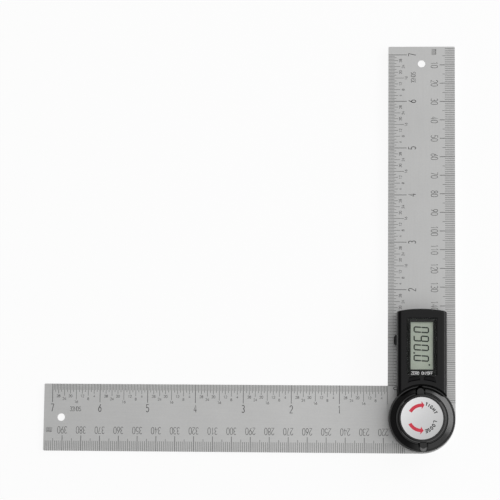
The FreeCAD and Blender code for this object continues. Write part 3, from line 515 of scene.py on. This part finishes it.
def write(marks, text, place, letter, turn=0.0, gap=LETTER_GAP):
    """Write text centred on a place.

    A letter is its height, width and stroke, and the turn is in degrees anticlockwise.
    """
    height, width, stroke = letter
    step = width * (1 + gap)
    total = step * len(text) - width * gap
    spin = Matrix.Rotation(math.radians(turn), 2)
    for n, sign in enumerate(text):
        left = -total / 2 + n * step
        for shape in GLYPHS[sign]:
            line = []
            for x, y in trace(shape):
                turned = spin @ Vector((left + x * width, (y - 0.5) * height))
                line.append((place[0] + turned.x, place[1] + turned.y))
            marks.stroke(line, stroke)


# ---------------------------------------------------------------- graduations

RULE_INK = 0.015 * MM
EDGE_GAP = 0.02 * MM      # between a mark and the rule's edge
LINE = 0.2 * MM
BOLD_LINE = 0.3 * MM      # whole inches and centimetres
CENTIMETRE = 10           # in millimetres
MM_TICKS = {CENTIMETRE: 8.1 * MM, 5: 6.6 * MM, 1: 5.3 * MM}
FIRST_TICK = 9 * MM       # nearer to the pivot than this, the head covers a mark
FIRST_NUMERAL = 15 * MM
INCH = 25.4 * MM
INCH_PARTS = 32
WHOLE_INCHES = 7
INCH_TICKS = {INCH_PARTS: 9.8 * MM, 16: 8.4 * MM, 8: 6.3 * MM, 4: 5.2 * MM, 2: 4.3 * MM,
              1: 3.3 * MM}
PART_LEVELS = {4: 6.5 * MM, 8: 7.95 * MM, 16: 9.5 * MM}      # how far in the 32nds' numbers lie
INCH_NUMERAL = (3.9 * MM, 1.4 * MM, 0.38 * MM)      # height, width, stroke
MM_NUMERAL = (3.6 * MM, 1.35 * MM, 0.25 * MM)
PART_NUMERAL = (1.3 * MM, 0.78 * MM, 0.2 * MM)
UNIT_LETTER = (3.4 * MM, 1.3 * MM, 0.2 * MM)
NOTE_LETTER = (2.3 * MM, 0.95 * MM, 0.22 * MM)
MM_NUMERAL_GAP = 0.36     # shares of the letters' width
UNIT_GAP = 0.25
NOTE_GAP = 0.28
INCH_NUMERAL_MIDDLE = 12.75 * MM
MM_NUMERAL_MIDDLE = 10.95 * MM
UNIT_PLACE = (2.9 * MM, 10.7 * MM)      # from the arm's end and from its outer edge
NOTE_PLACE = (16.8 * MM, 13.3 * MM)     # from the arm's end and from its inner edge
ZERO_PLACE = (1.45 * MM, 4.9 * MM)      # from the inner corner and from the inner edge
HEAD_GAP = 0.05 * MM      # between a mark and the readout box beside it
HEAD_END_GAP = 0.3 * MM
NO_LIMIT = 1.0            # longer than any mark
INNER, OUTER = 1, -1      # a rule's two edges


def largest(number, steps):
    """The largest step that a count is a multiple of."""
    return next(step for step in sorted(steps, reverse=True) if number % step == 0)


def beside_head(distance):
    """How far a mark on the upper arm may reach in before the readout box covers it."""
    return HALF_ARM - BOX_SIDE - HEAD_GAP if distance < BOX_END + HEAD_END_GAP else NO_LIMIT


def in_the_open(distance):
    """A mark on the lower arm may reach in as far as it likes, at any distance."""
    return NO_LIMIT


class Rule:
    """One arm's marks.

    Along points outwards from the pivot, and inner points to the edge with the inches. The
    turns are how its inch and millimetre numbers lie, in degrees. Room tells how far a mark
    may reach in from the edge at a distance from the pivot.
    """

    def __init__(self, level, along, inner, inch_turn, mm_turn, room):
        self.lines = Ink(level, RULE_INK)
        self.numbers = Ink(level, RULE_INK)
        self.along = Vector(along)
        self.inner = Vector(inner)
        self.inch_turn = inch_turn
        self.mm_turn = mm_turn
        self.room = room

    def spot(self, distance, edge, inset):
        """A place at a distance from the pivot, in from one of the edges."""
        return self.along * distance + self.inner * (edge * (HALF_ARM - inset))

    def tick(self, distance, edge, length, bold):
        first = self.spot(distance, edge, EDGE_GAP)
        second = self.spot(distance, edge, min(length, self.room(distance)))
        half = self.along * (BOLD_LINE if bold else LINE) / 2
        low, high = first - half, second + half
        self.lines.bar(low.x, high.x, low.y, high.y)

    def add_millimetres(self, first, step):
        """Millimetres along the outer edge: first at the arm's end, changing by step."""
        for number in range(1, round(ARM_LENGTH / MM)):
            distance = ARM_LENGTH - number * MM
            if distance < FIRST_TICK:
                continue
            length = MM_TICKS[largest(number, MM_TICKS)]
            numbered = number % CENTIMETRE == 0
            self.tick(distance, OUTER, length, bold=numbered)
            if numbered and distance > FIRST_NUMERAL and length <= self.room(distance):
                write(self.numbers, str(first + number * step),
                      self.spot(distance, OUTER, MM_NUMERAL_MIDDLE), MM_NUMERAL,
                      self.mm_turn, gap=MM_NUMERAL_GAP)
        from_end, inset = UNIT_PLACE
        write(self.numbers, "mm", self.spot(ARM_LENGTH - from_end, OUTER, inset), UNIT_LETTER,
              self.mm_turn, gap=UNIT_GAP)

    def add_inches(self):
        """Inches in 32nds along the inner edge, from 0 at the arms' inner corner."""
        for number in range(WHOLE_INCHES * INCH_PARTS + 1):
            distance = HALF_ARM + number * INCH / INCH_PARTS
            length = INCH_TICKS[largest(number, INCH_TICKS)]
            inches, part = divmod(number, INCH_PARTS)
            self.tick(distance, INNER, length, bold=part == 0)
            if length > self.room(distance):
                continue
            if part and part % min(PART_LEVELS) == 0:
                inset = PART_LEVELS[largest(part, PART_LEVELS)]
                write(self.numbers, str(part), self.spot(distance, INNER, inset), PART_NUMERAL,
                      self.inch_turn)
            if inches and part == 0:
                write(self.numbers, str(inches), self.spot(distance, INNER, INCH_NUMERAL_MIDDLE),
                      INCH_NUMERAL, self.inch_turn)
        from_end, inset = NOTE_PLACE
        write(self.numbers, "32NDS", self.spot(ARM_LENGTH - from_end, INNER, inset),
              NOTE_LETTER, self.inch_turn, gap=NOTE_GAP)


def make_graduations():
    black = ink("etched_black", (0.06, 0.06, 0.06), rough=0.5)

    upper = Rule(UPPER_TOP, (0, 1), (-1, 0), inch_turn=90.0, mm_turn=-90.0, room=beside_head)
    upper.add_millimetres(0, 1)
    upper.add_inches()
    before_corner, inset = ZERO_PLACE
    write(upper.numbers, "0", upper.spot(HALF_ARM - before_corner, INNER, inset), INCH_NUMERAL,
          upper.inch_turn)
    upper.lines.piece("upper_arm_graduations", black, UPPER, "rule_steel")
    upper.numbers.piece("upper_arm_numerals", black, UPPER, "rule_steel")

    lower = Rule(LOWER_TOP, (-1, 0), (0, 1), inch_turn=0.0, mm_turn=180.0, room=in_the_open)
    lower.add_millimetres(round(2 * ARM_LENGTH / MM), -1)
    lower.add_inches()
    lower.lines.piece("lower_arm_graduations", black, LOWER, "rule_steel")
    lower.numbers.piece("lower_arm_numerals", black, LOWER, "rule_steel")


# ---------------------------------------------------------------- display and window

DIGIT_INK = 0.01 * MM
DIGIT_LEFT = -4.02 * MM     # the digits' feet, towards the left of the box
DIGIT_RIGHT = 3.4 * MM      # their tops
DIGITS = "0900"             # the decimal point is one of the dots
DIGIT_STARTS = (47.8 * MM, 43.2 * MM, 38.45 * MM, 32.85 * MM)     # places along the box
DIGIT_SPAN = 2.6 * MM
DIGIT_SLANT = 0.06
SEGMENT_WIDTH = 0.72 * MM
SEGMENT_GAP = 0.36 * MM
SEVEN_SEGMENTS = {"0": "abcdef", "9": "abcdfg"}
DOTS = ((-4.0 * MM, 34.35 * MM), (3.9 * MM, 28.1 * MM))     # decimal point and degree mark
DOT_HALF = 0.42 * MM
WINDOW_INK = 0.02 * MM
WINDOW_INK_LIFT = 0.06 * MM     # above the bezel, still under the window
# Each word, its middle across the box and the width of its letters.
BUTTON_WORDS = (("ZERO", -3.56 * MM, 0.84 * MM), ("ON/OFF", 2.76 * MM, 0.79 * MM))
BUTTON_WORDS_ALONG = 23.7 * MM
BUTTON_WORD_HEIGHT = 1.5 * MM
BUTTON_WORD_STROKE = 0.25 * MM
BUTTON_WORD_GAP = 0.27


def make_digits():
    """Seven-segment 090.0 and a degree mark, tops to the right, reading down the box."""
    marks = Ink(GLASS_TOP, DIGIT_INK)
    middle = (DIGIT_LEFT + DIGIT_RIGHT) / 2
    cut = SEGMENT_GAP
    for digit, high in zip(DIGITS, DIGIT_STARTS):
        low = high - DIGIT_SPAN
        lines = {
            "a": [(DIGIT_RIGHT, high - cut), (DIGIT_RIGHT, low + cut)],
            "b": [(DIGIT_RIGHT - cut, low), (middle + cut, low)],
            "c": [(middle - cut, low), (DIGIT_LEFT + cut, low)],
            "d": [(DIGIT_LEFT, high - cut), (DIGIT_LEFT, low + cut)],
            "e": [(middle - cut, high), (DIGIT_LEFT + cut, high)],
            "f": [(DIGIT_RIGHT - cut, high), (middle + cut, high)],
            "g": [(middle, high - cut), (middle, low + cut)],
        }
        for segment in SEVEN_SEGMENTS[digit]:
            marks.segment([(x, y - DIGIT_SLANT * (x - middle)) for x, y in lines[segment]],
                          SEGMENT_WIDTH)
    for across, along in DOTS:
        marks.bar(across - DOT_HALF, across + DOT_HALF, along - DOT_HALF, along + DOT_HALF)
    marks.piece("display_digits", ink("segment_dark", (0.008, 0.016, 0.009)), UPPER, "display")


def make_window_lettering():
    """The buttons' names, printed white on the bezel below the display."""
    white = Ink(BEZEL_TOP + WINDOW_INK_LIFT, WINDOW_INK)
    for text, middle, width in BUTTON_WORDS:
        write(white, text, (middle, BUTTON_WORDS_ALONG),
              (BUTTON_WORD_HEIGHT, width, BUTTON_WORD_STROKE), gap=BUTTON_WORD_GAP)
    white.piece("window_lettering", ink("print_white", (0.8, 0.8, 0.8)), UPPER, "bezel_black")


# ---------------------------------------------------------------- knob label

LABEL_INK = 0.012 * MM
ARROW_WIDTH = 1.75 * MM
ARROW_HEAD = 4.1 * MM
ARROW_STEPS = 10
LABEL_LETTER = (1.6 * MM, 1.0 * MM, 0.45 * MM)      # height, width, stroke
# Each arrow's tail, head's base and tip: degrees about the pivot, and radius.
ARROWS = (((151.5, 6.9 * MM), (92, 6.75 * MM), (79.5, 7.0 * MM)),
          ((204.0, 6.85 * MM), (263.5, 6.35 * MM), (277.5, 6.5 * MM)))
# Each word, its radius and its letters' angles.
LABEL_WORDS = (("TIGHT", 7.6 * MM, (72, 61.5, 50, 36.5, 23.5)),
               ("LOOSE", 7.05 * MM, (-16, -31, -45.5, -59, -72)))


def curved_arrow(marks, tail, base, tip):
    """An arrow bent about the pivot, with a broad short head."""
    half, wing = ARROW_WIDTH / 2, ARROW_HEAD / 2
    outer, inner = [], []
    for n in range(ARROW_STEPS + 1):
        share = n / ARROW_STEPS
        angle, radius = (start + (stop - start) * share for start, stop in zip(tail, base))
        outer.append(around(radius + half, angle))
        inner.append(around(radius - half, angle))
    head = [around(base[1] + wing, base[0]), around(tip[1], tip[0]),
            around(base[1] - wing, base[0])]
    loop = outer + head + inner[::-1]
    marks.slab(loop if base[0] > tail[0] else loop[::-1])


def make_label_art():
    """Turning arrows and the words for them; the middle of the disc is bare."""
    red = Ink(LABEL_TOP, LABEL_INK)
    for arrow in ARROWS:
        curved_arrow(red, *arrow)
    red.piece("knob_arrows", ink("print_red", (0.62, 0.03, 0.06)), "lock_knob", "label_metal")
    words = Ink(LABEL_TOP, LABEL_INK)
    for word, radius, angles in LABEL_WORDS:
        for letter, angle in zip(word, angles):
            write(words, letter, around(radius, angle), LABEL_LETTER, turn=angle - 90)
    words.piece("knob_words", ink("print_black", (0.01, 0.01, 0.01)), "lock_knob", "label_metal")


# ---------------------------------------------------------------- drawer grip

RIB_HEIGHTS = (4.85 * MM, 5.7 * MM, 6.55 * MM)     # middles of the ribs on the finger tab
RIB_LENGTH = 4.3 * MM
RIB_WIDTH = 0.6 * MM
RIB_PROUD = 0.45 * MM
RIB_SUNK = 0.1 * MM         # how far its back lies inside the tab
RIB_RINGS = 14
RIB_ANGLES = (-90, -60, -30, 0, 30, 60, 90)
RIB_END_POWER = 6           # a higher power gives blunter ends
RIB_LEAST_SWELL = 0.02


def rib(points, faces, tab, middle, height):
    """One rounded rib along the finger tab, as rings of points from end to end."""
    first = len(points)
    for ring in range(RIB_RINGS + 1):
        share = 2 * ring / RIB_RINGS - 1
        swell = math.sqrt(max(RIB_LEAST_SWELL, 1 - share ** RIB_END_POWER))
        proud, half = RIB_PROUD * swell, RIB_WIDTH / 2 * swell
        y = middle + share * RIB_LENGTH / 2
        for angle in RIB_ANGLES:
            points.append((tab - proud * math.cos(math.radians(angle)), y,
                           height + half * math.sin(math.radians(angle))))
        points.append((tab + RIB_SUNK, y, height + half))
        points.append((tab + RIB_SUNK, y, height - half))
    around_ring = len(RIB_ANGLES) + 2
    for ring in range(RIB_RINGS):
        low, high = first + ring * around_ring, first + (ring + 1) * around_ring
        for n in range(around_ring):
            m = (n + 1) % around_ring
            faces.append([low + n, high + n, high + m, low + m])
    last = first + RIB_RINGS * around_ring
    faces.append([first + n for n in range(around_ring)])
    faces.append([last + n for n in reversed(range(around_ring))])


def make_drawer_grip():
    """Three rounded ribs along the drawer's finger tab."""
    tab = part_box("battery_drawer")[0].x
    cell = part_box("coin_cell")
    points, faces = [], []
    for height in RIB_HEIGHTS:
        rib(points, faces, tab, (cell[0].y + cell[1].y) / 2, height)
    mesh = make_mesh("drawer_grip", points, faces)
    for face in mesh.polygons:
        face.use_smooth = True
    material = nodes["battery_drawer"].data.materials[0]
    add_piece(mesh, material, "battery_drawer")


# ---------------------------------------------------------------- case screws

# Sizes here are in millimetres: the screws are built in them and scaled down at the end,
# because filling a face needs points that lie well apart.
SCREW_SIDES = 32
# A screw's radius and its height above the head's face, from the head to the point.
SCREW_PROFILE = ((1.95, 0.0), (1.93, 0.12), (0.86, 1.2), (0.8, 1.4), (0.8, 5.1), (0.3, 5.5))
CROSS_REACH = 1.15
CROSS_HALF = 0.24
CROSS_DEPTH = 0.85
CROSS_TAPER = (0.5, 0.8)    # the recess's floor, as shares of its reach and its width
END_SCREW_OUT = 9.3         # from the box's middle line
PIVOT_SCREW_OUT = 9.9
FIRST_SCREW_TURN = 17       # degrees: each screw stopped at its own angle
SCREW_TURN_STEP = 38


def cross(reach, half, turn):
    """The outline of a cross recess, anticlockwise."""
    corner = ((reach, -half), (reach, half), (half, half))
    return [rotated(x, y, turn + quarter) for quarter in (0, 90, 180, 270) for x, y in corner]


def add_screw(shape, across, along, foot, turn):
    """One countersunk screw, head down, with its cross recess."""

    def loop_at(outline, height):
        return [shape.verts.new((across + x, along + y, foot + height)) for x, y in outline]

    def wall(low, high):
        for n in range(len(low)):
            m = (n + 1) % len(low)
            shape.faces.new([low[n], low[m], high[m], high[n]])

    rings = [loop_at([around(radius, 360 * n / SCREW_SIDES) for n in range(SCREW_SIDES)], height)
             for radius, height in SCREW_PROFILE]
    for low, high in zip(rings, rings[1:]):
        wall(low, high)
    shape.faces.new(rings[-1])
    narrower, thinner = CROSS_TAPER
    mouth = loop_at(cross(CROSS_REACH, CROSS_HALF, turn), 0.0)
    floor = loop_at(cross(CROSS_REACH * narrower, CROSS_HALF * thinner, turn), CROSS_DEPTH)
    wall(mouth, floor)
    shape.faces.new(floor[::-1])
    edges = [shape.edges.get((loop[n], loop[(n + 1) % len(loop)]))
             for loop in (rings[0], mouth) for n in range(len(loop))]
    bmesh.ops.triangle_fill(shape, use_beauty=True, use_dissolve=False, edges=edges)


def make_case_screws():
    """The case screws with their cross recesses, flush in the underside of the upper rule."""
    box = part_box("housing_screws")
    foot = box[0].z / MM
    far = box[1].y / MM - SCREW_PROFILE[0][0]
    places = [(side * END_SCREW_OUT, far) for side in (1, -1)]
    places += [(side * PIVOT_SCREW_OUT, -PIVOT_SCREW_OUT) for side in (1, -1)]
    shape = bmesh.new()
    for number, (across, along) in enumerate(places):
        add_screw(shape, across, along, foot, FIRST_SCREW_TURN + SCREW_TURN_STEP * number)
    bmesh.ops.recalc_face_normals(shape, faces=shape.faces)
    bmesh.ops.scale(shape, vec=(MM, MM, MM), verts=shape.verts)
    mesh = bpy.data.meshes.new("case_screws")
    shape.to_mesh(mesh)
    shape.free()
    material = nodes["housing_screws"].data.materials[0]
    piece = add_piece(mesh, material, UPPER)
    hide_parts("housing_screws")


# ---------------------------------------------------------------- studio

FLOOR_COLOUR = (0.97, 0.97, 0.97, 1)
FLOOR_GLOW = 0.9            # how much of what the camera sees of the floor is its own light
FLOOR_REACH = 12.0
FLOOR_LEVEL = -0.2 * MM     # clear of the lower rule's underside
WHITE = (1, 1, 1, 1)
ROOM_DARK = 0.14
ROOM_BRIGHT = 1.0
ROOM_TURN = (-0.42, 0.16)   # headings in x between which the room goes from dark to bright
HORIZON = (0.04, 0.16)      # headings in z between which its pale horizon ends
KEY_PLACE = (1.22, 0.45, 0.64)
KEY_AIM = (0, 0.05, 0)
KEY_SIZE = (2.6, 0.32)
KEY_POWER = 10.5


def make_floor():
    """A white floor that looks evenly lit to the camera and in reflections."""
    kit = material_nodes("floor_white")
    plain = kit.add("BsdfDiffuse", {"Color": FLOOR_COLOUR})
    glow = kit.add("Emission", {"Color": WHITE, "Strength": 1.0})
    rays = kit.add("LightPath").outputs
    seen = rays["Is Camera Ray"]
    for ray in ("Is Glossy Ray", "Is Transmission Ray"):
        seen = kit.add("Math", {0: seen, 1: rays[ray]}, operation="MAXIMUM").outputs["Value"]
    share = kit.add("Math", {0: seen, 1: FLOOR_GLOW}, operation="MULTIPLY")
    both = kit.add("MixShader", {"Fac": share.outputs["Value"], 1: plain.outputs["BSDF"],
                                 2: glow.outputs["Emission"]})
    kit.add("OutputMaterial", {"Surface": both.outputs["Shader"]})
    corners = [(x * FLOOR_REACH, y * FLOOR_REACH, FLOOR_LEVEL)
               for x, y in ((-1, -1), (1, -1), (1, 1), (-1, 1))]
    mesh = make_mesh("floor", corners, [(0, 1, 2, 3)])
    mesh.materials.append(kit.owner)
    floor = add_object("floor", mesh)


def make_key_light():
    """A long low softbox on the right, its longer side level with the floor."""
    data = bpy.data.lights.new("key_light", "AREA")
    data.shape = "RECTANGLE"
    data.size, data.size_y = KEY_SIZE
    data.energy = KEY_POWER
    lamp = add_object("key_light", data)
    lamp.location = KEY_PLACE
    towards = Vector(KEY_AIM) - Vector(KEY_PLACE)
    lamp.rotation_euler = towards.to_track_quat("-Z", "Y").to_euler()


def make_world():
    """A room with soft light overhead and on the right, dark on the left, pale at its horizon."""
    world = bpy.data.worlds.new("studio")
    kit = Nodes(world)
    heading = kit.add("SeparateXYZ", {"Vector": kit.add("TexCoord").outputs["Generated"]}).outputs
    level = kit.spread(heading["X"], ROOM_DARK, ROOM_BRIGHT, *ROOM_TURN,
                       interpolation_type="SMOOTHSTEP")
    above = kit.spread(heading["Z"], 0.0, 1.0, *HORIZON, interpolation_type="SMOOTHSTEP")
    room = kit.add("Background", {"Color": WHITE, "Strength": kit.mix(above, 1.0, level)})
    kit.add("OutputWorld", {"Surface": room.outputs["Background"]})
    bpy.context.scene.world = world


def make_studio():
    make_floor()
    make_world()
    make_key_light()
    bpy.context.scene.view_settings.view_transform = "Standard"


make_camera()
dress_frame()
make_graduations()
make_digits()
make_window_lettering()
make_label_art()
make_drawer_grip()
make_case_screws()
make_studio()
